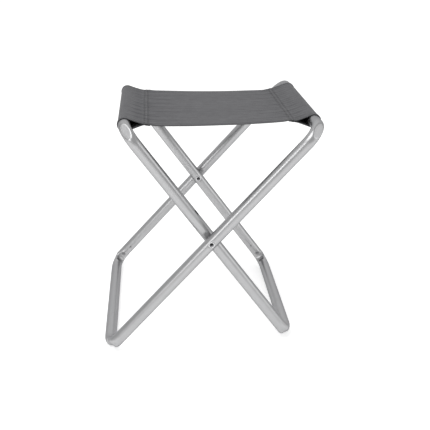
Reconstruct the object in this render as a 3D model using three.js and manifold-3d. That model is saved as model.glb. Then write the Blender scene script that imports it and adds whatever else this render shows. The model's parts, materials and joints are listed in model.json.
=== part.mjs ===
// Folding camp stool: two bent-tube loops crossed in an X, riveted at the crossing,
// with a woven seat stretched between their upper bars.
//
// Millimetres, +Z up, Y from the front (-) to the rear (+). The origin is on the floor below the pivots.
// The outer loop runs from its lower bar on the left to its upper bar on the right.
// The inner loop runs the other way and folds up inside the outer one.

import * as THREE from 'three';
import Module from 'manifold-3d';
import { mergeVertices } from 'three/addons/utils/BufferGeometryUtils.js';

const wasm = await Module();
wasm.setup();

// ---- Driving dimensions ----

const GAP = 0.3; // clearance between pieces that touch

const TUBE_RADIUS = 11;
const TUBE_WALL = 1.2;
const TUBE_SIDES = 20;
const BEND_RADIUS = 34; // to the centre line
const BEND_STEPS = 6;

const HALF_RISE = 204; // height from a lower bar's centre line to the pivot
const PIVOT_HEIGHT = TUBE_RADIUS + HALF_RISE;
const OUTER = { halfLength: 278, halfDepth: 202, side: 1 };
const INNER = { halfLength: 252, halfDepth: 178, side: -1 };

const SEAM_FROM_LEG = 117; // from a front leg's centre line to the joint in the lower bar
const SPIGOT_LENGTH = 70;
const SPIGOT_WALL = 1.5;

const DRAIN_HOLE_RADIUS = 1.5;
const DRAIN_HOLE_HEIGHT = 48; // up the leg from the lower bar's centre line
const SLOT_LENGTH = 12;
const SLOT_WIDTH = 4;
const SLOT_ABOVE_PIVOT = 56;
const SLOT_TURN = 20 * Math.PI / 180; // from the leg's upper side towards its front

const RIVET_RADIUS = 4;
const RIVET_BORE = 3.1;
const RIVET_RIM_RADIUS = 5.6;
const RIVET_RIM_THICKNESS = 0.9;
const SPACER_RADIUS = 9;
const SPACER_THICKNESS = 1.2;
const ROUND_SEGMENTS = 24;

const CLOTH = 0.8;
const SEAT_HALF_DEPTH = 143;
const SLEEVE_REACH = 42; // from a bar's centre line to the sewn end of its sleeve
const SEAM_WIDTH = 8; // the sewn lap at the sleeve's end
const SEAT_SAG = 3;
const ARC_STEPS = 18;

// ---- Materials ----

function material(colour, roughness, metalness) {
  return new THREE.MeshStandardMaterial({ color: colour, roughness, metalness });
}

const finishes = {
  tube: () => material(0xc4c5c7, 0.32, 0.95),
  spigot: () => material(0xb4b6b8, 0.4, 0.9),
  rivet: () => material(0xd2d3d4, 0.28, 1),
  spacer: () => material(0x2b2c2e, 0.6, 0),
  cloth: () => material(0x69696c, 0.9, 0),
};

function namedMesh(name, geometry, finish) {
  const mesh = new THREE.Mesh(geometry, finishes[finish]());
  mesh.name = name;
  return mesh;
}

// ---- Boolean cuts ----

function toSolid(geometry) {
  const bare = geometry.clone();
  bare.deleteAttribute('normal');
  bare.deleteAttribute('uv');
  const merged = mergeVertices(bare, 1e-4);
  return new wasm.Manifold(new wasm.Mesh({
    numProp: 3,
    vertProperties: new Float32Array(merged.attributes.position.array),
    triVerts: new Uint32Array(merged.index.array),
  }));
}

function toGeometry(solid) {
  const mesh = solid.getMesh();
  const geometry = new THREE.BufferGeometry();
  geometry.setAttribute('position', new THREE.BufferAttribute(mesh.vertProperties, 3));
  geometry.setIndex(new THREE.BufferAttribute(mesh.triVerts, 1));
  geometry.computeVertexNormals();
  return geometry;
}

function cut(geometry, tools) {
  const whole = toSolid(geometry);
  return toGeometry(tools.reduce((solid, tool) => solid.subtract(toSolid(tool)), whole));
}

// ---- Frame loops ----
// Each loop is drawn in its own plane: X up the leg, Y front to back, Z across the plane.

// A path through chosen stations, each with its own direction, so that straights need no extra rings.
class StationPath extends THREE.Curve {
  constructor(stations) {
    super();
    this.stations = stations;
  }

  at(t) {
    return this.stations[Math.round(t * (this.stations.length - 1))];
  }

  getPointAt(t, target = new THREE.Vector3()) {
    return target.copy(this.at(t).point);
  }

  getTangentAt(t, target = new THREE.Vector3()) {
    return target.copy(this.at(t).tangent);
  }
}

// A quarter bend round (x, y), from angle start, turning anticlockwise seen along -Z.
function bendStations(x, y, start) {
  return Array.from({ length: BEND_STEPS + 1 }, (_, i) => {
    const angle = start + (i / BEND_STEPS) * (Math.PI / 2);
    const out = new THREE.Vector3(Math.cos(angle), Math.sin(angle), 0);
    return {
      point: out.clone().multiplyScalar(BEND_RADIUS).add(new THREE.Vector3(x, y, 0)),
      tangent: new THREE.Vector3(-out.y, out.x, 0),
    };
  });
}

// From the joint in the lower bar, forward, up the front leg, along the upper bar, down the rear leg and back.
function loopPath({ halfLength, halfDepth }) {
  const x = halfLength - BEND_RADIUS;
  const y = halfDepth - BEND_RADIUS;
  const seam = -halfDepth + SEAM_FROM_LEG;
  const towardsFront = new THREE.Vector3(0, -1, 0);
  return new StationPath([
    { point: new THREE.Vector3(-halfLength, seam - GAP / 2, 0), tangent: towardsFront },
    ...bendStations(-x, -y, Math.PI),
    ...bendStations(x, -y, 1.5 * Math.PI),
    ...bendStations(x, y, 0),
    ...bendStations(-x, y, 0.5 * Math.PI),
    { point: new THREE.Vector3(-halfLength, seam + GAP / 2, 0), tangent: towardsFront },
  ]);
}

// A regular polygon drawn round a circle, with one flat square to the direction angle.
function flatSided(radius, angle, PathClass = THREE.Shape) {
  const reach = radius / Math.cos(Math.PI / TUBE_SIDES);
  const corners = Array.from({ length: TUBE_SIDES }, (_, i) => {
    const turn = angle + ((i + 0.5) / TUBE_SIDES) * 2 * Math.PI;
    return new THREE.Vector2(reach * Math.cos(turn), reach * Math.sin(turn));
  });
  return new PathClass(corners);
}

function tubeSection(radius, wall, angle) {
  const section = flatSided(radius, angle);
  section.holes.push(flatSided(radius - wall, angle, THREE.Path));
  return section;
}

// The angle from the floor, on the right, up to the loop's upper leg.
function legAngle({ halfLength, side }) {
  const slope = Math.asin(HALF_RISE / halfLength);
  return side > 0 ? slope : Math.PI - slope;
}

// A pin-shaped cutting tool, its axis along +Y before it is placed.
function drill(radius, length, place) {
  const tool = new THREE.CylinderGeometry(radius, radius, length, ROUND_SEGMENTS);
  return tool.applyMatrix4(place);
}

function pivotHole() {
  const through = 1000;
  return drill(RIVET_RADIUS + GAP, through, new THREE.Matrix4());
}

// Drain holes face into the loop, near the foot of each leg.
function drainHoles({ halfLength, halfDepth }) {
  return [-1, 1].map((end) => {
    const y = end * (halfDepth - TUBE_RADIUS);
    const place = new THREE.Matrix4().makeTranslation(-halfLength + DRAIN_HOLE_HEIGHT, y, 0);
    return drill(DRAIN_HOLE_RADIUS, 4 * TUBE_WALL, place);
  });
}

// A slot along the inner loop's front leg, in its upper side and turned a little to the front.
function legSlot({ halfDepth }, towards) {
  const half = (SLOT_LENGTH - SLOT_WIDTH) / 2;
  const outline = new THREE.Shape();
  outline.absarc(half, 0, SLOT_WIDTH / 2, -Math.PI / 2, Math.PI / 2);
  outline.absarc(-half, 0, SLOT_WIDTH / 2, Math.PI / 2, 1.5 * Math.PI);
  const tool = new THREE.ExtrudeGeometry(outline, { depth: 4 * TUBE_WALL, bevelEnabled: false, curveSegments: 8 });
  tool.translate(0, 0, towards * TUBE_RADIUS - 2 * TUBE_WALL);
  return tool.rotateX(towards * SLOT_TURN).translate(SLOT_ABOVE_PIVOT, -halfDepth, 0);
}

function frameTube(loop, extraCuts) {
  const path = loopPath(loop);
  const section = tubeSection(TUBE_RADIUS, TUBE_WALL, -legAngle(loop));
  const bent = new THREE.ExtrudeGeometry(section, { steps: path.stations.length - 1, extrudePath: path });
  return cut(bent, [pivotHole(), ...drainHoles(loop), ...extraCuts]);
}

function jointSpigot(loop) {
  const radius = TUBE_RADIUS - TUBE_WALL - GAP;
  const section = tubeSection(radius, SPIGOT_WALL, -legAngle(loop));
  const seam = -loop.halfDepth + SEAM_FROM_LEG;
  const towardsFront = new THREE.Vector3(0, -1, 0);
  const ends = [SPIGOT_LENGTH / 2, -SPIGOT_LENGTH / 2].map((offset) => ({
    point: new THREE.Vector3(-loop.halfLength, seam + offset, 0),
    tangent: towardsFront,
  }));
  return new THREE.ExtrudeGeometry(section, { steps: 1, extrudePath: new StationPath(ends) });
}

// Stands a loop's pieces up on the floor, crossed at the pivot.
function standUp(loop, meshes) {
  const group = new THREE.Group();
  group.position.z = PIVOT_HEIGHT;
  group.rotation.y = -legAngle(loop);
  group.add(...meshes);
  return group;
}

// ---- Pivots ----

const OUTER_FACE = OUTER.halfDepth + TUBE_RADIUS / Math.cos(Math.PI / TUBE_SIDES) + GAP;
const INNER_FACE = INNER.halfDepth - TUBE_RADIUS / Math.cos(Math.PI / TUBE_SIDES) - GAP;
const BETWEEN_LEGS = (OUTER.halfDepth + INNER.halfDepth) / 2;

// Turns a profile of [radius, distance along the pivot] round the pivot's axis.
function turned(profile) {
  const points = [...profile, profile[0]].map(([radius, along]) => new THREE.Vector2(radius, along));
  return new THREE.LatheGeometry(points, ROUND_SEGMENTS);
}

function pivotRivet() {
  return turned([
    [RIVET_BORE, INNER_FACE - RIVET_RIM_THICKNESS],
    [RIVET_RIM_RADIUS, INNER_FACE - RIVET_RIM_THICKNESS],
    [RIVET_RIM_RADIUS, INNER_FACE],
    [RIVET_RADIUS, INNER_FACE],
    [RIVET_RADIUS, OUTER_FACE],
    [RIVET_RIM_RADIUS, OUTER_FACE],
    [RIVET_RIM_RADIUS, OUTER_FACE + RIVET_RIM_THICKNESS],
    [RIVET_BORE, OUTER_FACE + RIVET_RIM_THICKNESS],
  ]);
}

function pivotSpacer() {
  const low = BETWEEN_LEGS - SPACER_THICKNESS / 2;
  const high = BETWEEN_LEGS + SPACER_THICKNESS / 2;
  const bore = RIVET_RADIUS + GAP;
  return turned([[bore, low], [SPACER_RADIUS, low], [SPACER_RADIUS, high], [bore, high]]);
}

// One set of pivot pieces for each end of the stool. The front set is the rear set turned about Z.
function pivotSet(end) {
  const group = new THREE.Group();
  group.position.z = PIVOT_HEIGHT;
  group.rotation.z = end === 'front' ? Math.PI : 0;
  group.add(namedMesh(`${end}_pivot_rivet`, pivotRivet(), 'rivet'));
  group.add(namedMesh(`${end}_pivot_spacer`, pivotSpacer(), 'spacer'));
  return group;
}

// ---- Seat ----
// Seat outlines are drawn in the XZ plane and run from the front edge to the rear edge.

function barX({ halfLength, side }) {
  return side * Math.sqrt(halfLength ** 2 - HALF_RISE ** 2);
}

const BAR_HEIGHT = PIVOT_HEIGHT + HALF_RISE;

function alongSeat(outline) {
  const geometry = new THREE.ExtrudeGeometry(outline, { depth: 2 * SEAT_HALF_DEPTH, bevelEnabled: false });
  geometry.rotateX(Math.PI / 2);
  return geometry.translate(0, SEAT_HALF_DEPTH, 0);
}

// One side of a bar sleeve: round a circle and out along its two tangents to the sewn end, at half thickness tip.
function teardrop(radius, reach, tip) {
  const lean = Math.asin((radius - tip) / reach);
  const start = Math.PI / 2 - lean;
  const sweep = 2 * (Math.PI - start);
  const round = Array.from({ length: ARC_STEPS + 1 }, (_, i) => {
    const angle = start + (sweep * i) / ARC_STEPS;
    return new THREE.Vector2(radius * Math.cos(angle), radius * Math.sin(angle));
  });
  return [...round, new THREE.Vector2(reach, -tip), new THREE.Vector2(reach, tip)];
}

// The hem of a bar sleeve lies on itself at the sewn lap, so its opening ends short of the tip.
function barSleeve({ side, halfLength }) {
  const inside = TUBE_RADIUS / Math.cos(Math.PI / TUBE_SIDES) + GAP;
  const outline = new THREE.Shape(teardrop(inside + CLOTH, SLEEVE_REACH, CLOTH));
  outline.holes.push(new THREE.Path(teardrop(inside, SLEEVE_REACH - SEAM_WIDTH, GAP)));
  const sleeve = alongSeat(outline);
  if (side > 0) {
    sleeve.rotateZ(Math.PI);
  }
  return sleeve.translate(barX({ side, halfLength }), 0, BAR_HEIGHT);
}

// A shallow arc between the two sleeves, sagging at the middle.
function seatPanel() {
  const left = barX(INNER) + SLEEVE_REACH + GAP;
  const right = barX(OUTER) - SLEEVE_REACH - GAP;
  const middle = (left + right) / 2;
  const halfSpan = (right - left) / 2;
  const edge = (x, lift) => {
    const share = (x - middle) / halfSpan;
    return new THREE.Vector2(x, BAR_HEIGHT + lift - SEAT_SAG * (1 - share * share));
  };
  const stations = Array.from({ length: ARC_STEPS + 1 }, (_, i) => left + ((right - left) * i) / ARC_STEPS);
  const top = stations.map((x) => edge(x, CLOTH / 2));
  const bottom = stations.map((x) => edge(x, -CLOTH / 2)).reverse();
  return alongSeat(new THREE.Shape([...top, ...bottom]));
}

// ---- Assembly ----

const stool = new THREE.Group();

stool.add(standUp(OUTER, [
  namedMesh('outer_frame_tube', frameTube(OUTER, []), 'tube'),
  namedMesh('outer_joint_spigot', jointSpigot(OUTER), 'spigot'),
]));
stool.add(standUp(INNER, [
  namedMesh('inner_frame_tube', frameTube(INNER, [legSlot(INNER, -1)]), 'tube'),
  namedMesh('inner_joint_spigot', jointSpigot(INNER), 'spigot'),
]));
stool.add(pivotSet('front'));
stool.add(pivotSet('rear'));
stool.add(namedMesh('left_bar_sleeve', barSleeve(INNER), 'cloth'));
stool.add(namedMesh('right_bar_sleeve', barSleeve(OUTER), 'cloth'));
stool.add(namedMesh('seat_panel', seatPanel(), 'cloth'));

export default stool;
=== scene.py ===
"""The looks of a folding camp stool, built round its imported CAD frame.

Metres, +Z up, Y from the front (-) to the rear (+), in the CAD's own frame.
"""

import json
import math

import bpy
import numpy as np
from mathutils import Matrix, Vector


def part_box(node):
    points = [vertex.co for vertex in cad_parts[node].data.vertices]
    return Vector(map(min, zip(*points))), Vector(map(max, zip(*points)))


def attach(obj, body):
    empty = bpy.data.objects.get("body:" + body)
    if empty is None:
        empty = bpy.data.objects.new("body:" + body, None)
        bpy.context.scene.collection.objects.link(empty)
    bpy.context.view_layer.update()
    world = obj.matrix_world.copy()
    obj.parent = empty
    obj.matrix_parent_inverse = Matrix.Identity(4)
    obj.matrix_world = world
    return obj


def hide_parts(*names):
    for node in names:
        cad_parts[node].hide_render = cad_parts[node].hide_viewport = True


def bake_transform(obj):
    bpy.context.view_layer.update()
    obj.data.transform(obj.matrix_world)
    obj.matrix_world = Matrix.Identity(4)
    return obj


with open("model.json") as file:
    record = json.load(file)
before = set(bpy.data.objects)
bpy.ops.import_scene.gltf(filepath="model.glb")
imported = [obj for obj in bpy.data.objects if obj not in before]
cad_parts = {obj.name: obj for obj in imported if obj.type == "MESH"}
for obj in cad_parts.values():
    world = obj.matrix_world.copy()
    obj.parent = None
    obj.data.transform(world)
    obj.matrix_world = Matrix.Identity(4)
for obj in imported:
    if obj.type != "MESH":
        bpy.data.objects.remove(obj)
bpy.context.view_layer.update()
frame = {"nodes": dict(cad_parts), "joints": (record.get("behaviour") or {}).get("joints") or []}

MM = 0.001

# ---- Driving dimensions, as in the CAD ----

TUBE_RADIUS = 11 * MM
TUBE_WALL = 1.2 * MM
BEND_RADIUS = 34 * MM
SEAM_FROM_LEG = 117 * MM
SEAM_GAP = 0.3 * MM
DRAIN_HOLE_RADIUS = 1.5 * MM
DRAIN_HOLE_HEIGHT = 48 * MM
SLOT_LENGTH = 12 * MM
SLOT_WIDTH = 4 * MM
SLOT_ABOVE_PIVOT = 56 * MM
SLOT_TURN = math.radians(20)  # from the leg's upper side towards its front
RIVET_RADIUS = 4 * MM
RIVET_BORE = 3.1 * MM
RIVET_RIM_RADIUS = 5.6 * MM

PIVOT = Vector(frame["joints"][0]["pos_m"])

# ---- Pressed details of the tubes ----
# A reach of two distances says how far a flat stays whole, and where it is gone.

RING_POINTS = 64
PIVOT_FLAT_DEPTH = 1.0 * MM  # where the two loops face each other
PIVOT_FLAT_REACH = (12 * MM, 22 * MM)
RIVET_FLAT_DEPTH = 1.1 * MM  # under a rivet's rim
RIVET_FLAT_REACH = (5 * MM, 8 * MM)
DIMPLE_DEPTH = 6.4 * MM  # inside a lower bend
DIMPLE_HALF_LENGTH = 18.5 * MM
DIMPLE_HALF_ANGLE = 80  # degrees
DIMPLE_POWER = 1.25  # above 1, so that its rim runs out softly
DENT_DEPTH = 7.6 * MM  # outside a lower bend
DENT_DATUM = 1.04 * TUBE_RADIUS  # from the centre line, where that depth starts
DENT_PLACE = -6.5 * MM  # from mid-bend, towards the bar
DENT_WIDTH = 9 * MM
DENT_POWER = 2.2
CREASE_DEPTH = 3.6 * MM  # across the dent
CREASE_WIDTH = 3.2 * MM
CREASE_POWER = 1.4  # below the dent's, for a sharper bottom
CREASE_SOFTNESS = 0.5 * MM  # where the dent and its crease meet the round tube
LEG_LOBE = 1.7 * MM  # the proud side of the dent
LEG_LOBE_PLACE = 15 * MM  # from the dent, towards the leg
LEG_LOBE_WIDTH = 5.5 * MM
BAR_PULL = 2.6 * MM  # and its drawn-in side
BAR_PULL_PLACE = -10 * MM
BAR_PULL_WIDTH = 7 * MM
SWELL_ANGLES = (50, 95)  # degrees from the outside, where both are whole and gone
UPPER_FLAT_DEPTH = 3.8 * MM  # a plane pressed outside an upper bend
EDGE_SOFTNESS = 0.25 * MM  # round that plane

# The spacing of a tube's rings: (reach, step) round each feature.

LOWER_BEND_RINGS = (28 * MM, 1.2 * MM)
UPPER_BEND_RINGS = (28 * MM, 1.4 * MM)
PIVOT_RINGS = (25 * MM, 1.2 * MM)
SLOT_RINGS = (9 * MM, 1.5 * MM)
PLAIN_STEP = 5 * MM
LOOK_AHEAD = 3 * MM

CUTTER_SIDES = 32
LEG_CUT = 6 * TUBE_RADIUS  # long enough for a whole leg
WALL_CUT = 5 * MM  # and for one wall

# ---- Rivets and washers ----

LATHE_SIDES = 64
RIVET_MOUTH = 3.75 * MM  # the flare at each end
RIVET_CORE = 2.1 * MM
RIVET_FLARE = ((RIVET_BORE, 1.2 * MM), (RIVET_CORE, 3 * MM))  # radius, depth in the mouth
RIVET_CLEARANCE = 0.15 * MM  # in its holes
RIM_LIFT = 0.05 * MM  # between a rim and the leg's flat
RIM_HEIGHT = 0.95  # of half the rim's width
RIM_POINTS = 13
WASHER_INSET = 2.6 * MM  # from the edge of the CAD's spacer
WASHER_BORE = RIVET_RADIUS + 0.1 * MM
WASHER_PLAY = 0.06 * MM  # from each leg's flat
WASHER_ROUND = 0.6 * MM
WASHER_ROUND_POINTS = 5

# ---- Seat dimensions ----

CLOTH = 0.8 * MM
SEAT_HALF_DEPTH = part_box("seat_panel")[1].y
SLEEVE_RADIUS = TUBE_RADIUS + 0.55 * MM  # to the middle of the cloth
HEM_WIDTH = 9 * MM
HEM_FOLD = 1.1 * MM  # the width of the step at a hem's inner side
HEM_ROW = 6.8 * MM  # from the edge to the hem's stitches
HEM_GROOVE = 0.16 * MM
EDGE_ROUND = 0.3 * MM
EDGE_ROUND_REACH = (0.05 * MM, 0.9 * MM)
STITCH_ROWS = (35.5 * MM, 42 * MM)  # from a bar's centre line
ROW_RELIEF = 0.3 * MM
GROOVE_WIDTH = 0.9 * MM
PUFF_WIDTH = 1.9 * MM
LAP_START = 33.5 * MM
LAP_END = 45.5 * MM
LAP_HALF = 0.46 * MM
LAP_BLEND = 6 * MM  # past the lap, until the panel's own shape has taken over
LAP_SOFTNESS_UNDER = 0.6 * MM
LAP_SOFTNESS_OVER = 1.3 * MM
LAP_SETTLE = 12 * MM
SAG_FRONT = 4.6 * MM
SAG_REAR = 2.6 * MM
SAG_SHARE = 0.77  # of the half width, where the sag runs out
SAG_POWER = 2.2
TWIST = 1.6 * MM
EDGE_BOW = 2.2 * MM
BOW_SHARE = 0.8

# The spacing of the cloth's points: (reach, step) round each row of stitches.

PROFILE_STEP = 0.4 * MM
ROW_POINTS = (5 * MM, 0.7 * MM)
ALONG_STEP = 1.7 * MM
HEM_POINTS = (8 * MM, 0.8 * MM)
ACROSS_STEP = 1.8 * MM

# Waves of the cloth: each one's height, and its periods from front to rear.

SLEEVE_WRINKLE = 0.8 * MM
SLEEVE_PERIODS = (14.6 * MM, 31 * MM)
PULL_WRINKLE = 0.7 * MM
PULL_PERIODS = (12.7 * MM, 20.5 * MM)
PULL_FADE = 58 * MM
PUCKER = 0.11 * MM
PUCKER_PERIODS = (7.3 * MM, 61 * MM)
PUCKER_WIDTH = 2.6 * MM
SLACK_WAVE = 0.55 * MM
SLACK_PERIOD = 120 * MM

# ---- Thread ----

THREAD_RADIUS = 0.24 * MM
THREAD_SIDES = 6
STITCH_PITCH = 3.2 * MM
STITCH_LENGTH = 2.7 * MM
STITCH_RINGS = 6
ROW_MARGIN = 2.5 * MM  # from the seat's edge to a row's first stitch
HEM_MARGIN = 2 * MM  # from the cloth's sewn end to a hem's first stitch
BUNCH_LEAN = 0.2  # of the bunched stitches at a row's end, back under the hem
BUNCH = ((-0.9, 0.2), (0, 0.5), (0.9, 0.1), (-0.5, 1.9), (0.6, 2.3))  # mm aside, mm down

# ---- Colours and weave ----

WEAVE_PITCH = 0.62 * MM
TUBE_COLOUR = (0.42, 0.421, 0.426)
CLOTH_COLOUR = (0.1035, 0.1035, 0.109)
# The thread's own colour, made darker than the cloth's in part as painted shade for the grooves
# along the stitch rows.
THREAD_COLOUR = (0.084, 0.084, 0.088)
RIVET_COLOUR = (0.66, 0.66, 0.67)
FLOOR_COLOUR = (0.8, 0.8, 0.8)
FLOOR_GLOW = 0.48
NOISE_SPAN = (0.3, 0.7)  # the values that a noise mostly keeps within

# ---- Stage dimensions ----

CAMERA_SENSOR = 36  # millimetres
CAMERA_LENS = 66.405
CAMERA_PLACE = (-99.16 * MM, -1504.12 * MM, 762.62 * MM)
CAMERA_DOWN = 20.73  # degrees below level
CAMERA_TURN = -4.649  # degrees about +Z
FLOOR_HALF = 8  # metres
FLOOR_DROP = 0.2 * MM
GLOW_SIDE = (0, 0.93, 0.36)
GLOW_RAMP = (0.5, 0.95)  # the cosine from that side, where the glow starts and is whole
SURROUND = (0.65, 1.1)  # the surround's strength elsewhere and in the glow
LIGHT_TARGET = (0, 0, 0.2)
LIGHTS = {  # place, size in metres, power in watts
    "key": ((-0.9, -0.95, 2.8), (1.8, 1.8), 32),
    "softbox": ((-1.6, -1.8, 1.28), (0.72, 1.0), 8),
    "fill": ((2.6, -0.9, 1.1), (1.6, 1.6), 9),
}


# ---- Small helpers ----

def smooth(edge_a, edge_b, value):
    """0 before edge_a, 1 after edge_b, smooth between them."""
    t = np.clip((value - edge_a) / (edge_b - edge_a), 0, 1)
    return t * t * (3 - 2 * t)


def plateau(distance, flat, fade):
    """1 up to the distance flat, 0 from the distance fade."""
    return 1 - smooth(flat, fade, np.abs(distance))


def bell(distance, width):
    """1 at no distance, falling away to the width and beyond."""
    return np.exp(-0.5 * (distance / width) ** 2)


def soft_limit(value, limit, softness):
    """The lesser of the two, rounded where they meet."""
    return -softness * np.logaddexp(-value / softness, -limit / softness)


def wave(place, period, phase=0.0):
    """Between -1 and 1, once in each period."""
    return np.sin(2 * math.pi * place / period + phase)


def spaced(length, features, wide, ahead=0.0):
    """Places from 0 to length, wide apart, and closer round each feature (centre, reach, step).

    The step from a place is the one that holds ahead of it.
    """
    places = [0.0]
    while places[-1] < length:
        here = places[-1] + ahead
        fine = [step for centre, reach, step in features if abs(here - centre) < reach]
        places.append(places[-1] + min([wide, *fine]))
    return np.array(places) * length / places[-1]


def grid_faces(rows, columns, wrap=False, flip=False):
    """Quads of a rows x columns grid of points. wrap joins the last column to the first."""
    across = columns if wrap else columns - 1
    i, j = np.meshgrid(np.arange(rows - 1), np.arange(across), indexing="ij")
    k = (j + 1) % columns
    here, after = i * columns, (i + 1) * columns
    quads = np.stack([here + j, here + k, after + k, after + j], -1).reshape(-1, 4)
    return quads[:, ::-1] if flip else quads


def prism_faces(rings, sides):
    """The faces of a closed prism of so many rings, its two ends capped."""
    last = (rings - 1) * sides
    caps = [list(range(sides))[::-1], list(range(last, last + sides))]
    return grid_faces(rings, sides, wrap=True).tolist() + caps


def mark(piece, name, values):
    """A value for each point of a mesh, for its material to read."""
    attribute = piece.data.attributes.new(name, "FLOAT", "POINT")
    attribute.data.foreach_set("value", np.asarray(values, np.float32).ravel())


def mesh_object(name, points, faces, material, uv=None, sharp=35):
    """A mesh piece. uv gives a pair in metres for each corner of each face."""
    mesh = bpy.data.meshes.new(name)
    mesh.from_pydata(np.asarray(points).tolist(), [], [list(map(int, f)) for f in faces])
    if uv is not None:
        layer = mesh.uv_layers.new(name="metres")
        layer.data.foreach_set("uv", np.asarray(uv, np.float32).ravel())
    mesh.shade_smooth()
    mesh.set_sharp_from_angle(angle=math.radians(sharp))
    mesh.materials.append(material)
    piece = bpy.data.objects.new(name, mesh)
    bpy.context.scene.collection.objects.link(piece)
    return piece


def lathe(name, profile, centre, material):
    """Turns (radius, distance) pairs round the Y axis through centre. The profile closes."""
    turn = np.linspace(0, 2 * math.pi, LATHE_SIDES, endpoint=False)
    rows = [
        np.stack([r * np.cos(turn), np.full(LATHE_SIDES, d), r * np.sin(turn)], 1)
        for r, d in [*profile, profile[0]]
    ]
    points = np.concatenate(rows[:-1]) + np.array(centre)
    faces = grid_faces(len(rows), LATHE_SIDES, wrap=True) % len(points)
    return mesh_object(name, points, faces, material, sharp=40)


# ---- Materials ----

class Nodes:
    """A small builder of one procedural material round its Principled shader."""

    def __init__(self, name, colour, **constants):
        self.material = bpy.data.materials.new(name)
        self.material.use_nodes = True
        self.tree = self.material.node_tree
        self.shader = self.tree.nodes["Principled BSDF"]
        self.shader.inputs["Base Color"].default_value = (*colour, 1)
        for socket, value in constants.items():
            self.shader.inputs[socket.replace("_", " ")].default_value = value

    def add(self, kind, inputs=(), **settings):
        made = self.tree.nodes.new("ShaderNode" + kind)
        for key, value in settings.items():
            setattr(made, key, value)
        for socket, value in dict(inputs).items():
            if isinstance(value, bpy.types.NodeSocket):
                self.tree.links.new(value, made.inputs[socket])
            else:
                made.inputs[socket].default_value = value
        return made

    def math(self, operation, a, b=0.0):
        return self.add("Math", {0: a, 1: b}, operation=operation).outputs[0]

    def metres(self):
        """The two lengths along and across the piece, from its uv."""
        split = self.add("SeparateXYZ", {0: self.add("UVMap", uv_map="metres").outputs[0]})
        return split.outputs[0], split.outputs[1]

    def noise(self, vector, scale, detail=2.0, roughness=0.5):
        inputs = {"Vector": vector, "Scale": scale, "Detail": detail, "Roughness": roughness}
        return self.add("TexNoise", inputs).outputs[0]

    def streaks(self, along, along_scale, across, across_scale, detail=2.0, roughness=0.5):
        """A noise stretched one way: so many spots in a metre along, and so many across."""
        scaled = {
            0: self.math("MULTIPLY", along, along_scale),
            1: self.math("MULTIPLY", across, across_scale),
        }
        return self.noise(self.add("CombineXYZ", scaled).outputs[0], 1.0, detail, roughness)

    def place(self):
        return self.add("TexCoord").outputs["Object"]

    def range(self, value, low, high, to_low, to_high):
        inputs = {0: value, 1: low, 2: high, 3: to_low, 4: to_high}
        return self.add("MapRange", inputs).outputs[0]

    def spread(self, noise, to_low, to_high):
        """Stretches a noise over a range."""
        return self.range(noise, *NOISE_SPAN, to_low, to_high)

    def shade(self, colour, factor):
        """The colour made lighter or darker by a factor near 1."""
        scaled = self.add("VectorMath", {0: colour, 3: factor}, operation="SCALE")
        return scaled.outputs[0]

    def set(self, socket, value):
        self.tree.links.new(value, self.shader.inputs[socket])

    def bump(self, height, distance, strength, below=None):
        inputs = {"Height": height, "Distance": distance, "Strength": strength}
        if below is not None:
            inputs["Normal"] = below
        return self.add("Bump", inputs).outputs[0]


def tube_material():
    """Satin anodised aluminium with fine drawing lines along the tube."""
    n = Nodes("anodised_tube", TUBE_COLOUR, Metallic=1.0, Specular_Tint=(0.42, 0.42, 0.43, 1))
    along, round_it = n.metres()
    lines = n.streaks(along, 9, round_it, 1600, detail=3.0, roughness=0.6)
    bands = n.streaks(along, 2.5, round_it, 170)
    cloudy = n.noise(n.place(), 38, 4.0, 0.6)
    specks = n.streaks(along, 160, round_it, 420, detail=5.0, roughness=0.7)
    scuffs = n.range(specks, 0.66, 0.78, 0.0, 1.0)
    tone = n.math("ADD", n.spread(bands, 0.95, 1.05), n.spread(lines, -0.025, 0.025))
    tone = n.math("MULTIPLY", tone, n.spread(cloudy, 0.965, 1.03))
    n.set("Base Color", n.shade(TUBE_COLOUR, tone))
    gloss = n.math("ADD", n.range(lines, 0.25, 0.75, 0.27, 0.36), n.spread(cloudy, -0.02, 0.04))
    n.set("Roughness", n.math("ADD", gloss, n.math("MULTIPLY", scuffs, 0.09)))
    fine = n.bump(lines, 0.02 * MM, 0.5)
    n.set("Normal", n.bump(scuffs, 0.012 * MM, 0.4, below=fine))
    return n.material


def spigot_material():
    """Plain drawn tube."""
    n = Nodes("spigot", (0.5, 0.5, 0.51), Metallic=1.0)
    grain = n.noise(n.place(), 900, 3.0)
    n.set("Roughness", n.spread(grain, 0.34, 0.46))
    n.set("Normal", n.bump(grain, 0.02 * MM, 0.4))
    return n.material


def rivet_material():
    """Bright rolled aluminium, dulled a little in patches."""
    n = Nodes("rivet", RIVET_COLOUR, Metallic=1.0)
    patches = n.noise(n.place(), 420, 4.0, 0.6)
    n.set("Roughness", n.spread(patches, 0.2, 0.36))
    n.set("Normal", n.bump(n.noise(n.place(), 1800, 2.0), 0.02 * MM, 0.5))
    n.set("Base Color", n.shade(RIVET_COLOUR, n.spread(patches, 0.9, 1.05)))
    return n.material


def spacer_material():
    """Dark moulded plastic."""
    n = Nodes("spacer", (0.2, 0.2, 0.205), Specular_IOR_Level=0.45)
    grain = n.noise(n.place(), 2600, 2.0)
    n.set("Roughness", n.spread(grain, 0.5, 0.62))
    n.set("Normal", n.bump(grain, 0.03 * MM, 0.6))
    return n.material


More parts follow.
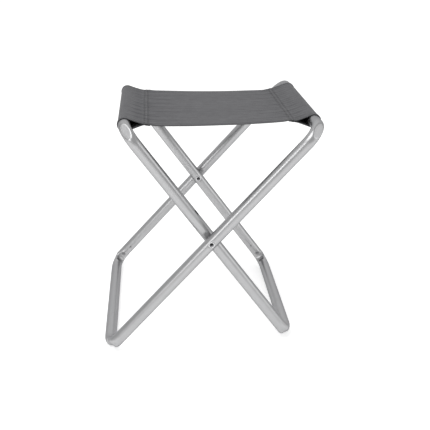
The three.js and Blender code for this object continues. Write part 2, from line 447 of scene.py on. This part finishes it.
def cloth_material():
    """Plain-weave coated polyester: threads over and under each other, unevenly dyed, with painted
    shade along the stitch rows and the hem edges.
    """
    bloom = {"Sheen_Weight": 0.05, "Sheen_Roughness": 0.45, "Specular_IOR_Level": 0.2}
    n = Nodes("seat_fabric", CLOTH_COLOUR, **bloom)
    along, across = n.metres()
    drift = n.noise(n.place(), 160, 2.0)
    along = n.math("ADD", along, n.spread(drift, -0.12 * MM, 0.12 * MM))
    warp = n.math("SINE", n.math("MULTIPLY", along, math.pi / WEAVE_PITCH))
    weft = n.math("SINE", n.math("MULTIPLY", across, math.pi / WEAVE_PITCH))
    over = n.math("MULTIPLY", warp, weft)
    slubs = n.streaks(along, 90, across, 1700)
    cross = n.streaks(along, 1700, across, 90)
    cloudy = n.noise(n.place(), 55, 4.0, 0.6)
    tone = n.math("MULTIPLY", n.range(over, -1, 1, 0.84, 1.12), n.spread(slubs, 0.93, 1.07))
    tone = n.math("MULTIPLY", tone, n.spread(cross, 0.95, 1.05))
    tone = n.math("MULTIPLY", tone, n.spread(cloudy, 0.9, 1.1))
    # painted shade: the attribute named pressed darkens the cloth along the stitch rows and at the
    # hems, standing in for the shade in the stitch grooves and at the hem edges
    pressed = n.add("Attribute", attribute_name="pressed").outputs["Fac"]
    tone = n.math("MULTIPLY", tone, n.range(pressed, 0, 1, 1.0, 0.68))
    n.set("Base Color", n.shade(CLOTH_COLOUR, tone))
    n.set("Roughness", n.range(over, -1, 1, 0.86, 0.74))
    ribs = n.math("ADD", over, n.math("MULTIPLY", n.math("ADD", slubs, cross), 0.6))
    n.set("Normal", n.bump(ribs, 0.055 * MM, 0.5))
    return n.material


def thread_material():
    """Twisted polyester thread, darker than the cloth; part of that darkness is painted shade for
    the stitch grooves.
    """
    n = Nodes("seat_thread", THREAD_COLOUR, Sheen_Weight=0.1, Specular_IOR_Level=0.4)
    twist = n.noise(n.place(), 5200, 2.0)
    n.set("Roughness", n.spread(twist, 0.5, 0.7))
    n.set("Base Color", n.shade(THREAD_COLOUR, n.spread(twist, 0.8, 1.15)))
    n.set("Normal", n.bump(twist, 0.05 * MM, 0.6))
    return n.material


def floor_material():
    """A white floor. It glows a little, which keeps the shadows pale."""
    n = Nodes("floor", FLOOR_COLOUR, Specular_IOR_Level=0.0, Roughness=0.9)
    n.shader.inputs["Emission Color"].default_value = (1, 1, 1, 1)
    n.shader.inputs["Emission Strength"].default_value = FLOOR_GLOW
    n.set("Base Color", n.shade(FLOOR_COLOUR, n.spread(n.noise(n.place(), 3, 3.0), 0.995, 1.005)))
    return n.material


# ---- Frame loops ----
# Each loop lies in its own plane: u up the leg, v front to back, w across the plane.

class Loop:
    """One of the two bent tubes. side is the side of its upper bar: +1 right, -1 left."""

    def __init__(self, node, side):
        low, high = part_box(node)
        rise = PIVOT.z - TUBE_RADIUS
        self.bar_x = side * (high.x - TUBE_RADIUS if side > 0 else -low.x - TUBE_RADIUS)
        self.half_depth = round(high.y - TUBE_RADIUS, 3)
        self.half_length = math.hypot(self.bar_x, rise)
        self.up = np.array([self.bar_x, 0, rise]) / self.half_length
        self.back = np.array([0, 1, 0])
        self.normal = np.cross(self.up, self.back)
        self.centre = np.array(PIVOT)

    def world(self, u, v, w):
        """World points of places in the loop's plane."""
        u, v, w = (np.asarray(a, float)[..., None] for a in (u, v, w))
        return self.centre + u * self.up + v * self.back + w * self.normal

    def path(self):
        """The centre line's stretches, from the seam round to it again.

        A straight one is ("straight", length, start, direction), a bent one is
        ("bend", length, centre, angle at its start).
        """
        u, v = self.half_length - BEND_RADIUS, self.half_depth - BEND_RADIUS
        seam = -self.half_depth + SEAM_FROM_LEG
        bend = BEND_RADIUS * math.pi / 2
        half_gap = SEAM_GAP / 2
        return [
            ("straight", seam - half_gap + v, (-self.half_length, seam - half_gap), (0, -1)),
            ("bend", bend, (-u, -v), math.pi),
            ("straight", 2 * u, (-u, -self.half_depth), (1, 0)),
            ("bend", bend, (u, -v), 1.5 * math.pi),
            ("straight", 2 * v, (self.half_length, -v), (0, 1)),
            ("bend", bend, (u, v), 0),
            ("straight", 2 * u, (u, self.half_depth), (-1, 0)),
            ("bend", bend, (-u, v), math.pi / 2),
            ("straight", v - seam - half_gap, (-self.half_length, v), (0, -1)),
        ]


def tube_rings(loop):
    """The rings of a loop's tube: place along it, centre, outward direction, and distances.

    The distances are from the nearest lower bend, upper bend and pivot. The first is positive on
    the leg's side of the bend.
    """
    path = loop.path()
    starts = np.concatenate([[0], np.cumsum([p[1] for p in path])])
    bends = [starts[k] + path[k][1] / 2 for k in (1, 3, 5, 7)]
    front_pivot, rear_pivot = starts[2] + path[2][1] / 2, starts[6] + path[6][1] / 2
    features = [(bends[k], *LOWER_BEND_RINGS) for k in (0, 3)]
    features += [(bends[k], *UPPER_BEND_RINGS) for k in (1, 2)]
    features += [(pivot, *PIVOT_RINGS) for pivot in (front_pivot, rear_pivot)]
    features += [(front_pivot + SLOT_ABOVE_PIVOT, *SLOT_RINGS)]
    s = spaced(starts[-1], features, PLAIN_STEP, LOOK_AHEAD)
    points, outs = np.zeros((len(s), 2)), np.zeros((len(s), 2))
    for k, (kind, length, place, direction) in enumerate(path):
        here = (s >= starts[k] - 1e-9) & (s <= starts[k + 1] + 1e-9)
        t = s[here] - starts[k]
        if kind == "straight":
            points[here] = np.array(place) + t[:, None] * np.array(direction)
            outs[here] = np.array([direction[1], -direction[0]])
        else:
            angle = direction + t / BEND_RADIUS
            outs[here] = np.stack([np.cos(angle), np.sin(angle)], 1)
            points[here] = np.array(place) + BEND_RADIUS * outs[here]
    from_bend = np.where(s < front_pivot + rear_pivot - s, s - bends[0], bends[3] - s)
    from_top_bend = np.minimum(np.abs(s - bends[1]), np.abs(s - bends[2]))
    from_pivot = np.minimum(np.abs(s - front_pivot), np.abs(s - rear_pivot))
    return s, points, outs, (from_bend, from_top_bend, from_pivot)


def pressed_section(from_bend, from_top_bend, from_pivot, mating):
    """Each ring's points (out, across) from its centre.

    mating is +1 where the loop's outside meets the other loop, and -1 where its inside does.
    """
    phi = np.linspace(0, 2 * math.pi, RING_POINTS, endpoint=False)[None, :]
    from_bend, from_pivot = from_bend[:, None], from_pivot[:, None]
    from_top_bend = from_top_bend[:, None]
    out = TUBE_RADIUS * np.cos(phi) + 0 * from_bend
    across = TUBE_RADIUS * np.sin(phi) + 0 * from_bend
    inner_angle = np.degrees(np.abs(phi - math.pi))
    outer_angle = 180 - inner_angle

    from_dent = from_bend - DENT_PLACE
    lobe = LEG_LOBE * bell(from_dent - LEG_LOBE_PLACE, LEG_LOBE_WIDTH)
    pull = BAR_PULL * bell(from_dent - BAR_PULL_PLACE, BAR_PULL_WIDTH)
    swell = 1 + (lobe - pull) / TUBE_RADIUS * plateau(outer_angle, *SWELL_ANGLES)
    out, across = out * swell, across * swell

    reach = (from_bend / DIMPLE_HALF_LENGTH) ** 2 + (inner_angle / DIMPLE_HALF_ANGLE) ** 2
    out = out + DIMPLE_DEPTH * (1 - reach).clip(0, 1) ** DIMPLE_POWER

    dent = DENT_DEPTH * np.exp(-np.abs(from_dent / DENT_WIDTH) ** DENT_POWER)
    dent = dent + CREASE_DEPTH * np.exp(-np.abs(from_dent / CREASE_WIDTH) ** CREASE_POWER)
    out = soft_limit(out, DENT_DATUM - dent, CREASE_SOFTNESS)

    flat = TUBE_RADIUS - PIVOT_FLAT_DEPTH * plateau(from_pivot, *PIVOT_FLAT_REACH)
    seat = TUBE_RADIUS - RIVET_FLAT_DEPTH * plateau(from_pivot, *RIVET_FLAT_REACH)
    high, low = (flat, seat) if mating > 0 else (seat, flat)
    turned = np.clip(from_top_bend / BEND_RADIUS, 0, 1)
    top_flat = (BEND_RADIUS + TUBE_RADIUS - UPPER_FLAT_DEPTH) / np.cos(turned) - BEND_RADIUS
    return np.clip(soft_limit(out, top_flat, EDGE_SOFTNESS), -low, high), across


def tube_piece(name, loop, mating, material):
    """A loop's tube with its wall, its bends pressed in and its flats at the pivots."""
    s, points, outs, distances = tube_rings(loop)
    out, across = pressed_section(*distances, mating)
    shells = []
    for scale in (1, (TUBE_RADIUS - TUBE_WALL) / TUBE_RADIUS):
        u = points[:, None, 0] + outs[:, None, 0] * out * scale
        v = points[:, None, 1] + outs[:, None, 1] * out * scale
        shells.append(loop.world(u, v, across * scale).reshape(-1, 3))
    rings, count = len(s), len(s) * RING_POINTS
    skin = grid_faces(rings, RING_POINTS, wrap=True)
    bore = grid_faces(rings, RING_POINTS, wrap=True, flip=True) + count
    k = np.arange(RING_POINTS)
    after = (k + 1) % RING_POINTS
    first = np.stack([k + count, after + count, after, k], 1)
    last = np.stack([k, after, after + count, k + count], 1) + count - RING_POINTS
    faces = np.concatenate([skin, bore, first, last])
    i, j = np.meshgrid(np.arange(rings - 1), np.arange(RING_POINTS), indexing="ij")
    ring_step = 2 * math.pi * TUBE_RADIUS / RING_POINTS
    corners = [(i, j), (i, j + 1), (i + 1, j + 1), (i + 1, j)]
    quad_uv = np.stack([np.stack([s[a], b * ring_step], -1) for a, b in corners], 2)
    quad_uv = quad_uv.reshape(-1, 4, 2)
    end_uv = np.zeros((RING_POINTS, 4, 2))
    end_uv[..., 1] = (k * ring_step)[:, None]
    uv = np.concatenate([quad_uv, quad_uv[:, ::-1], end_uv, end_uv])
    return mesh_object(name, np.concatenate(shells), faces, material, uv, sharp=50)


def cutter(loop, u, middle, through, radius, length, stretch=0.0):
    """A pin, or with stretch a slot-shaped bar, for cutting a hole in a loop's leg.

    Its middle is at u along the leg and (v, w) across it. It runs in the direction through, also
    (v, w).
    """
    turn = np.linspace(0, 2 * math.pi, CUTTER_SIDES, endpoint=False)
    (middle_v, middle_w), (to_v, to_w) = middle, through
    along = u + np.sign(np.cos(turn)) * stretch / 2 + radius * np.cos(turn)
    aside = radius * np.sin(turn)
    ends = []
    for end in (-length / 2, length / 2):
        v = middle_v + to_v * end - to_w * aside
        w = middle_w + to_w * end + to_v * aside
        ends.append(loop.world(along, v, w))
    points = np.concatenate(ends)
    faces = prism_faces(2, CUTTER_SIDES)
    mesh = bpy.data.meshes.new("cutter")
    mesh.from_pydata(points.tolist(), [], faces)
    made = bpy.data.objects.new("cutter", mesh)
    bpy.context.scene.collection.objects.link(made)
    return made


def cut(piece, cutters):
    """Takes the cutters out of the piece and deletes them."""
    for tool in cutters:
        flip_if_inside_out(tool.data)
        made = piece.modifiers.new("cut", "BOOLEAN")
        made.operation, made.solver, made.object = "DIFFERENCE", "MANIFOLD", tool
    bpy.context.view_layer.update()
    graph = bpy.context.evaluated_depsgraph_get()
    done = bpy.data.meshes.new_from_object(piece.evaluated_get(graph))
    piece.modifiers.clear()
    piece.data = done
    for tool in cutters:
        bpy.data.objects.remove(tool)


def flip_if_inside_out(mesh):
    """Turns a closed mesh's faces outwards."""
    mesh.calc_loop_triangles()
    co = np.array([v.co for v in mesh.vertices])
    tri = np.array([t.vertices for t in mesh.loop_triangles])
    a, b, c = co[tri[:, 0]], co[tri[:, 1]], co[tri[:, 2]]
    if (a * np.cross(b, c)).sum() < 0:
        mesh.flip_normals()


def frame_tube(name, node, body, loop, mating, material):
    """One loop's tube, with its rivet holes, drain holes and the inner loop's slot."""
    piece = tube_piece(name, loop, mating, material)
    flip_if_inside_out(piece.data)
    leg = loop.half_depth
    rivet_hole = RIVET_RADIUS + RIVET_CLEARANCE
    tools = [cutter(loop, 0, (end * leg, 0), (1, 0), rivet_hole, LEG_CUT) for end in (-1, 1)]
    drain = -loop.half_length + DRAIN_HOLE_HEIGHT
    inside = leg - TUBE_RADIUS
    for end in (-1, 1):
        tools.append(cutter(loop, drain, (end * inside, 0), (1, 0), DRAIN_HOLE_RADIUS, WALL_CUT))
    if mating > 0:
        upper = 1 if loop.normal[2] > 0 else -1
        to_slot = (-math.sin(SLOT_TURN), upper * math.cos(SLOT_TURN))
        middle = (-leg + TUBE_RADIUS * to_slot[0], TUBE_RADIUS * to_slot[1])
        place, straight = SLOT_ABOVE_PIVOT, SLOT_LENGTH - SLOT_WIDTH
        tools.append(cutter(loop, place, middle, to_slot, SLOT_WIDTH / 2, WALL_CUT, straight))
    cut(piece, tools)
    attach(piece, body)
    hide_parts(node)


# ---- Pivots ----

def turned_piece(name, end, profile, material):
    """A piece turned round the pivots' axis. Its profile is (radius, distance from the middle)."""
    sign = 1 if end == "rear" else -1
    piece = lathe(name, [(radius, sign * d) for radius, d in profile], PIVOT, material)
    flip_if_inside_out(piece.data)
    return piece


def pivot_rivet(end, outer, inner, material):
    """A tubular rivet, its two flared ends rolled over onto the tubes."""
    face_out = outer.half_depth + TUBE_RADIUS - RIVET_FLAT_DEPTH
    face_in = inner.half_depth - TUBE_RADIUS + RIVET_FLAT_DEPTH
    roll = (RIVET_RIM_RADIUS - RIVET_MOUTH) / 2
    middle = (RIVET_RIM_RADIUS + RIVET_MOUTH) / 2
    turn = np.linspace(0, math.pi, RIM_POINTS)
    rim = [(roll * math.cos(a), RIM_LIFT + RIM_HEIGHT * roll * math.sin(a)) for a in turn]
    profile = [(middle + across, face_out + rise) for across, rise in rim]
    profile += [(radius, face_out - depth) for radius, depth in RIVET_FLARE]
    profile += [(radius, face_in + depth) for radius, depth in RIVET_FLARE[::-1]]
    profile += [(middle - across, face_in - rise) for across, rise in rim]
    profile += [(RIVET_RADIUS, face_in), (RIVET_RADIUS, face_out)]
    piece = turned_piece(f"{end}_rivet", end, profile, material)
    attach(piece, "outer_frame")
    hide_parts(f"{end}_pivot_rivet")


def pivot_spacer(end, outer, inner, material):
    """A moulded washer that fills the space between the two legs' flats, its edges rounded."""
    low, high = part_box(f"{end}_pivot_spacer")
    radius = (high.x - low.x) / 2 - WASHER_INSET
    near = inner.half_depth + TUBE_RADIUS - PIVOT_FLAT_DEPTH + WASHER_PLAY
    far = outer.half_depth - TUBE_RADIUS + PIVOT_FLAT_DEPTH - WASHER_PLAY
    soft = WASHER_ROUND
    turn = np.linspace(0, math.pi / 2, WASHER_ROUND_POINTS)
    edge = [(radius - soft + soft * math.sin(a), soft - soft * math.cos(a)) for a in turn]
    profile = [(WASHER_BORE, near)]
    profile += [(r, near + rise) for r, rise in edge]
    profile += [(r, far - rise) for r, rise in edge[::-1]]
    profile += [(WASHER_BORE, far)]
    piece = turned_piece(f"{end}_washer", end, profile, material)
    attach(piece, "outer_frame")
    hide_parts(f"{end}_pivot_spacer")


# ---- Seat ----

def half_profile(half_width):
    """Half the seat's strip, seen from the front: distance from the bar inwards, height, on top.

    It runs from the sewn end under the seat, round the bar, over its top and on to the seat's
    middle.
    """
    alpha = math.acos(SLEEVE_RADIUS / LAP_START)
    touch = SLEEVE_RADIUS * math.cos(alpha)
    slope = (SLEEVE_RADIUS * math.sin(alpha) - LAP_HALF) / (LAP_START - touch)

    def layer(p, softness):
        return LAP_HALF + softness * np.logaddexp(0, slope * (LAP_START - p) / softness)

    under = np.arange(LAP_END, touch, -PROFILE_STEP)
    angles = np.arange(-alpha, -2 * math.pi + alpha, -PROFILE_STEP / SLEEVE_RADIUS)
    over = np.arange(touch, half_width + PROFILE_STEP / 4, PROFILE_STEP)
    p = np.concatenate([under, SLEEVE_RADIUS * np.cos(angles), over])
    heights = (
        -layer(under, LAP_SOFTNESS_UNDER),
        SLEEVE_RADIUS * np.sin(angles),
        layer(over, LAP_SOFTNESS_OVER),
    )
    top = np.arange(len(p)) >= len(under) + len(angles) // 2
    settle = np.where(top, smooth(LAP_END, LAP_END + LAP_SETTLE, p), 0)
    return p, np.concatenate(heights) - LAP_HALF * settle, top


class Seat:
    """The seat's cloth: one strip whose two ends are sewn back to it round the bars."""

    def __init__(self, left_bar, right_bar, bar_height):
        half_width = (right_bar - left_bar) / 2
        p, z, top = half_profile(half_width)
        length = np.concatenate([[0], np.cumsum(np.hypot(np.diff(p), np.diff(z)))])
        self.half = length[-1]
        rows_top = [np.interp(r, p[top], length[top]) for r in STITCH_ROWS]
        rows_under = [np.interp(-r, -p[~top], length[~top]) for r in STITCH_ROWS]
        self.rows = {"top": rows_top, "under": rows_under}
        s = spaced(self.half, [(row, *ROW_POINTS) for row in rows_top + rows_under], ALONG_STEP)
        p, z = np.interp(s, length, p), np.interp(s, length, z)
        top = s > (rows_top[0] + rows_under[0]) / 2
        self.s = np.concatenate([s, 2 * self.half - s[-2::-1]])
        self.p = np.concatenate([p, p[-2::-1]])
        self.top = np.concatenate([top, top[-2::-1]])
        self.x = np.concatenate([left_bar + p, right_bar - p[-2::-1]])
        self.z = bar_height + np.concatenate([z, z[-2::-1]])
        hems = [(row, *HEM_POINTS) for row in (HEM_ROW, 2 * SEAT_HALF_DEPTH - HEM_ROW)]
        self.y = spaced(2 * SEAT_HALF_DEPTH, hems, ACROSS_STEP) - SEAT_HALF_DEPTH
        self.share = np.clip((self.x - (left_bar + right_bar) / 2) / half_width, -1, 1)
        self.shape()

    def shape(self):
        """The two faces of the cloth, as grids of points along the strip and from front to rear."""
        s, p, top = self.s[:, None], self.p[:, None], self.top[:, None]
        y, share = self.y[None, :], self.share[:, None]
        left = s < self.half
        panel_top = smooth(LAP_START - LAP_BLEND, LAP_END + LAP_BLEND, p)
        panel = np.where(top, panel_top, smooth(LAP_START, LAP_END, p))
        rear = (y / SEAT_HALF_DEPTH + 1) / 2
        sag = SAG_FRONT * (1 - rear) + SAG_REAR * rear
        sag = sag * (1 - np.abs(share / SAG_SHARE).clip(0, 1) ** SAG_POWER) * top
        twist = -TWIST * share / SAG_SHARE * (y / SEAT_HALF_DEPTH) * panel
        dx = np.gradient(self.x, self.s)[:, None]
        dz = np.gradient(self.z, self.s)[:, None]
        size = np.hypot(dx, dz)
        normal = np.stack([-dz / size + 0 * y, 0 * size + 0 * y, dx / size + 0 * y], -1)
        edge = SEAT_HALF_DEPTH - np.abs(y)
        hem = plateau(edge, HEM_WIDTH - HEM_FOLD, HEM_WIDTH)
        lift = CLOTH * hem * (1 - top * smooth(LAP_END - 2 * MM, LAP_END + LAP_BLEND, p))
        rise = self.wrinkles(s, p, y, top, left) + lift + self.row_relief(s)
        rise = rise - HEM_GROOVE * bell(edge - HEM_ROW, GROOVE_WIDTH)
        bow = EDGE_BOW * (1 - np.abs(share / BOW_SHARE).clip(0, 1) ** 2) * top
        reach = y * (1 - bow / SEAT_HALF_DEPTH) + self.edge_waver(s, y)
        base = np.stack([self.x[:, None] + 0 * y, reach, self.z[:, None] - sag + twist], -1)
        mid = base + normal * rise[..., None]
        round_off = EDGE_ROUND * plateau(edge, *EDGE_ROUND_REACH)
        upper = CLOTH / 2 - round_off
        lower = CLOTH / 2 + CLOTH * hem - round_off
        self.face = mid + normal * upper[..., None]
        self.back = mid - normal * lower[..., None]
        self.normal = normal

    def wrinkles(self, s, p, y, top, left):
        """Pull wrinkles across the sleeves and beside the stitch rows, and puckers at the stitches.

        The phases only keep the waves from lining up, and the right end from mirroring the left.
        """
        side = np.where(left, 0.0, 2.1)
        strength = np.where(left, 1.0, 0.7)
        sleeve = bell(p - 25 * MM, 9 * MM) * np.where(top, 1, 0.7)
        folds = wave(y, SLEEVE_PERIODS[0], 0.9 + side + 30 * (p - 20 * MM))
        folds = folds + 0.9 * wave(y, SLEEVE_PERIODS[1], 2.2 - side + 21 * p)
        beyond = np.exp(-np.clip(p - LAP_END, 0, None) / PULL_FADE) * smooth(30 * MM, 46 * MM, p)
        pulls = wave(y, PULL_PERIODS[0], 1.4 + side) + 0.7 * wave(y, PULL_PERIODS[1], side)
        near_row = sum(bell(s - place, PUCKER_WIDTH) for place in self.all_rows())
        puckers = wave(y, PUCKER_PERIODS[0], 0.8 * wave(y, PUCKER_PERIODS[1]))
        slack = wave(y + 0.2 * p, SLACK_PERIOD, 0.7) * smooth(50 * MM, 110 * MM, p)
        pulled = SLEEVE_WRINKLE * sleeve * folds + PULL_WRINKLE * top * beyond * pulls
        return strength * pulled + PUCKER * near_row * puckers + SLACK_WAVE * slack * top

    def row_relief(self, s):
        """Grooves at the stitches, with the cloth puffed up between a pair of rows."""
        places = self.all_rows()
        grooves = sum(bell(s - place, GROOVE_WIDTH) for place in places)
        between = [(places[k] + places[k + 1]) / 2 for k in range(0, len(places), 2)]
        puffs = sum(bell(s - place, PUFF_WIDTH) for place in between)
        return ROW_RELIEF * (puffs - grooves)

    def edge_waver(self, s, y):
        """The hems don't run quite straight."""
        waver = 0.35 * np.sin(s / (31 * MM)) + 0.25 * np.sin(s / (13 * MM) + 1.1)
        return MM * waver * np.abs(y / SEAT_HALF_DEPTH) ** 8

    def all_rows(self):
        """The places of the eight sleeve rows along the strip."""
        half = self.rows["top"] + self.rows["under"]
        return half + [2 * self.half - place for place in half]

    def sample(self, grid, s, y):
        """The grid's value at a place on the strip, interpolated between its points."""
        i = int(np.clip(np.searchsorted(self.s, s) - 1, 0, len(self.s) - 2))
        j = int(np.clip(np.searchsorted(self.y, y) - 1, 0, len(self.y) - 2))
        a = (s - self.s[i]) / (self.s[i + 1] - self.s[i])
        b = (y - self.y[j]) / (self.y[j + 1] - self.y[j])
        low = grid[i, j] * (1 - a) + grid[i + 1, j] * a
        high = grid[i, j + 1] * (1 - a) + grid[i + 1, j + 1] * a
        return low * (1 - b) + high * b

    def cloth(self, material):
        """The closed solid of the cloth."""
        rows, columns = len(self.s), len(self.y)
        count = rows * columns
        points = np.concatenate([self.face.reshape(-1, 3), self.back.reshape(-1, 3)])
        face = grid_faces(rows, columns)
        back = grid_faces(rows, columns, flip=True) + count
        index = np.arange(count).reshape(rows, columns)
        rim = np.concatenate([index[0, :-1], index[:-1, -1], index[-1, :0:-1], index[:0:-1, 0]])
        after = np.roll(rim, -1)
        walls = np.stack([after, rim, rim + count, after + count], 1)
        faces = np.concatenate([face, back, walls])
        s, y = (a.reshape(-1) for a in np.meshgrid(self.s, self.y, indexing="ij"))
        uv = np.tile(np.stack([s, y], 1), (2, 1))[faces.reshape(-1)]
        piece = mesh_object("seat_cloth", points, faces, material, uv, sharp=50)
        flip_if_inside_out(piece.data)
        # painted shade along the stitch rows and at the hem edges, stored in the attribute named
        # pressed
        rows_shade = sum(bell(self.s - place, 1.1 * MM) for place in self.all_rows())
        edge = SEAT_HALF_DEPTH - np.abs(self.y)
        hem_edge_shade = 0.8 * plateau(edge, 0.8 * MM, 3.2 * MM) + 0.4 * bell(edge - HEM_ROW, 1.0 * MM)
        seam_shade = np.clip(rows_shade[:, None] + hem_edge_shade[None, :], 0, 1)
        mark(piece, "pressed", np.tile(seam_shade.ravel(), 2))
        return piece


def stitch(centre, along, normal):
    """One stitch: a short thread that rises from the cloth and dives back into it."""
    across = np.cross(along, normal)
    steps = np.linspace(-0.5, 0.5, STITCH_RINGS)
    turn = np.linspace(0, 2 * math.pi, THREAD_SIDES, endpoint=False)
    rings = []
    for t in steps:
        height = THREAD_RADIUS * (0.75 - 7.5 * t * t)
        middle = centre + along * (t * STITCH_LENGTH) + normal * height
        round_it = np.cos(turn)[:, None] * across + np.sin(turn)[:, None] * normal
        rings.append(middle + THREAD_RADIUS * round_it)
    return np.concatenate(rings)


def row_ends(seat):
    """The locked stitches bunched over the front hem's edge, at the ends of the rows on top."""
    size = math.hypot(BUNCH_LEAN, 1)
    down = np.array([0, BUNCH_LEAN, -1]) / size
    out = np.array([0, -1, -BUNCH_LEAN]) / size
    bunch = []
    for row in seat.rows["top"] + [2 * seat.half - place for place in seat.rows["top"]]:
        for aside, drop in BUNCH:
            edge = seat.sample(seat.face, row + aside * MM, -SEAT_HALF_DEPTH)
            bunch.append(stitch(edge + drop * MM * down, down, out))
    return bunch


def stitching(seat, material):
    """All the seat's visible stitches, on both faces of the cloth."""
    margin = SEAT_HALF_DEPTH - ROW_MARGIN
    row_y = np.arange(-margin, margin, STITCH_PITCH)
    places = [(s, y, 0, 1, seat.face, 1) for s in seat.all_rows() for y in row_y]
    hem_s = np.arange(HEM_MARGIN, 2 * seat.half - HEM_MARGIN, STITCH_PITCH)
    faces_of = ((seat.face, 1), (seat.back, -1))
    for y in (-SEAT_HALF_DEPTH + HEM_ROW, SEAT_HALF_DEPTH - HEM_ROW):
        places += [(s, y, 1, 0, grid, side) for s in hem_s for grid, side in faces_of]
    points = []
    for s, y, ds, dy, grid, side in places:
        half = STITCH_LENGTH / 2
        a = seat.sample(grid, s - ds * half, y - dy * half)
        b = seat.sample(grid, s + ds * half, y + dy * half)
        along = (b - a) / np.linalg.norm(b - a)
        normal = seat.sample(seat.normal, s, y) * side
        normal = normal - along * normal.dot(along)
        normal = normal / np.linalg.norm(normal)
        points.append(stitch((a + b) / 2, along, normal))
    points += row_ends(seat)
    one, size = prism_faces(STITCH_RINGS, THREAD_SIDES), STITCH_RINGS * THREAD_SIDES
    faces = [[v + k * size for v in f] for k in range(len(points)) for f in one]
    return mesh_object("seat_stitching", np.concatenate(points), faces, material, sharp=80)


def make_seat(outer, inner):
    """The cloth and its stitches, hung between the two upper bars."""
    bar_height = 2 * PIVOT.z - TUBE_RADIUS
    seat = Seat(inner.bar_x, outer.bar_x, bar_height)
    cloth = seat.cloth(cloth_material())
    threads = stitching(seat, thread_material())
    for piece in (cloth, threads):
        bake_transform(piece)
    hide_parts("seat_panel", "left_bar_sleeve", "right_bar_sleeve")


# ---- Stage ----

def make_camera():
    """The photograph's viewing angle."""
    data = bpy.data.cameras.new("camera")
    data.sensor_width = CAMERA_SENSOR
    data.lens = CAMERA_LENS
    camera = bpy.data.objects.new("camera", data)
    camera.location = CAMERA_PLACE
    camera.rotation_euler = (math.radians(90 - CAMERA_DOWN), 0, math.radians(CAMERA_TURN))
    bpy.context.scene.collection.objects.link(camera)
    bpy.context.scene.camera = camera


def make_floor():
    """A wide floor just under the stool."""
    half = FLOOR_HALF
    points = [(-half, -half, 0), (half, -half, 0), (half, half, 0), (-half, half, 0)]
    floor = mesh_object("floor", points, [(0, 1, 2, 3)], floor_material())
    floor.location.z = -FLOOR_DROP


def area_light(name, place, size, power):
    """A rectangular light turned towards the stool, which the camera doesn't see."""
    data = bpy.data.lights.new(name, "AREA")
    data.shape, data.size, data.size_y = "RECTANGLE", size[0], size[1]
    data.energy = power
    light = bpy.data.objects.new(name, data)
    light.location = place
    light.visible_camera = False
    towards = Vector(LIGHT_TARGET) - Vector(place)
    light.rotation_euler = towards.to_track_quat("-Z", "Y").to_euler()
    bpy.context.scene.collection.objects.link(light)


def make_world():
    """An even pale surround, brighter low behind the stool."""
    world = bpy.data.worlds.new("studio")
    world.use_nodes = True
    nodes, links = world.node_tree.nodes, world.node_tree.links
    towards = nodes.new("ShaderNodeTexCoord")
    facing = nodes.new("ShaderNodeVectorMath")
    facing.operation = "DOT_PRODUCT"
    facing.inputs[1].default_value = Vector(GLOW_SIDE).normalized()
    links.new(towards.outputs["Generated"], facing.inputs[0])
    level = nodes.new("ShaderNodeMapRange")
    level.interpolation_type = "SMOOTHSTEP"
    for socket, value in enumerate((*GLOW_RAMP, *SURROUND), 1):
        level.inputs[socket].default_value = value
    links.new(facing.outputs["Value"], level.inputs[0])
    nodes["Background"].inputs[0].default_value = (1, 1, 1, 1)
    links.new(level.outputs[0], nodes["Background"].inputs[1])
    bpy.context.scene.world = world


def make_lights():
    """A broad key high on the front left, a softbox low on the left, and a weak fill."""
    for name, (place, size, power) in LIGHTS.items():
        area_light(name, place, size, power)
    make_world()
    bpy.context.scene.view_settings.view_transform = "Standard"


# ---- Assembly ----

make_camera()
make_floor()
make_lights()

outer_loop = Loop("outer_frame_tube", 1)
inner_loop = Loop("inner_frame_tube", -1)
tube_finish = tube_material()
frame_tube("outer_tube", "outer_frame_tube", "outer_frame", outer_loop, -1, tube_finish)
frame_tube("inner_tube", "inner_frame_tube", "inner_frame", inner_loop, 1, tube_finish)

spigot_finish = spigot_material()
for spigot in ("outer_joint_spigot", "inner_joint_spigot"):
    mesh = frame["nodes"][spigot].data
    mesh.materials.clear()
    mesh.materials.append(spigot_finish)

rivet_finish, spacer_finish = rivet_material(), spacer_material()
for end in ("front", "rear"):
    pivot_rivet(end, outer_loop, inner_loop, rivet_finish)
    pivot_spacer(end, outer_loop, inner_loop, spacer_finish)

make_seat(outer_loop, inner_loop)
